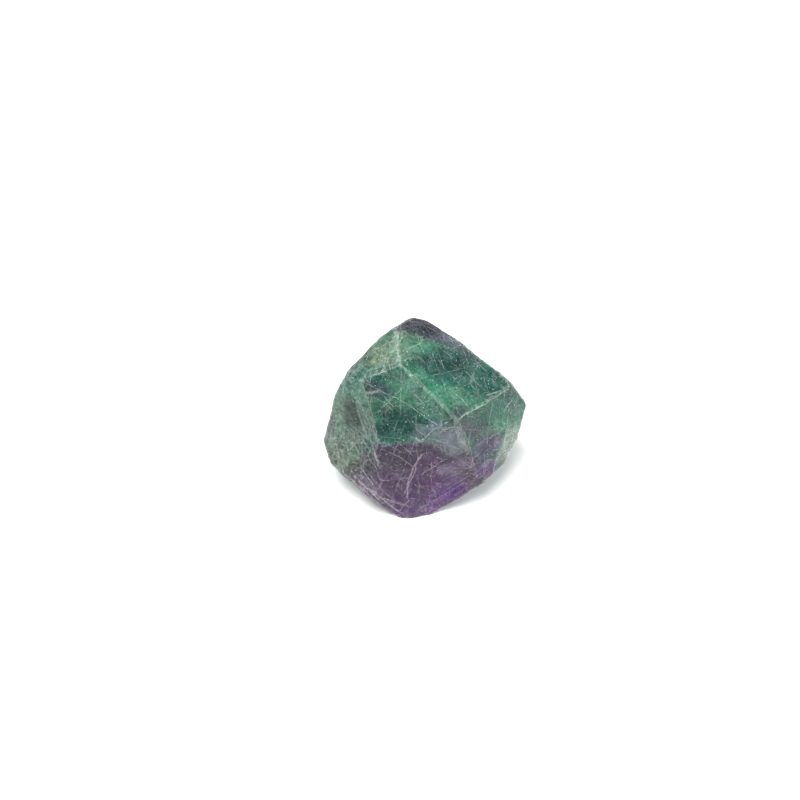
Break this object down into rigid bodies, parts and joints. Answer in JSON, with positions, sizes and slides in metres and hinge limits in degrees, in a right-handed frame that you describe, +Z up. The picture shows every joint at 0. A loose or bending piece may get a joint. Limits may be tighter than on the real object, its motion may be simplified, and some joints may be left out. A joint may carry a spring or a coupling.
{
  "type": "fluorite specimen",
  "caption": "Rough fluorite stone with flat broken faces, worn edges and chips, zoned green and purple and laced with pale healed cracks. It rests on its flat broken base.",
  "frame": {"origin": "middle of the underside of the stone's box, on the surface that it rests on", "axes": "+Z up, -Y towards the stone's front, +X along its width"},
  "size_m": [0.0388, 0.0282, 0.0325],
  "materials": {
    "fluorite": "translucent crystal, satin on its flat faces and frosted on its worn edges"
  },
  "bodies": {
    "root": {"fluorite": "fluorite"}
  },
  "joints": []
}
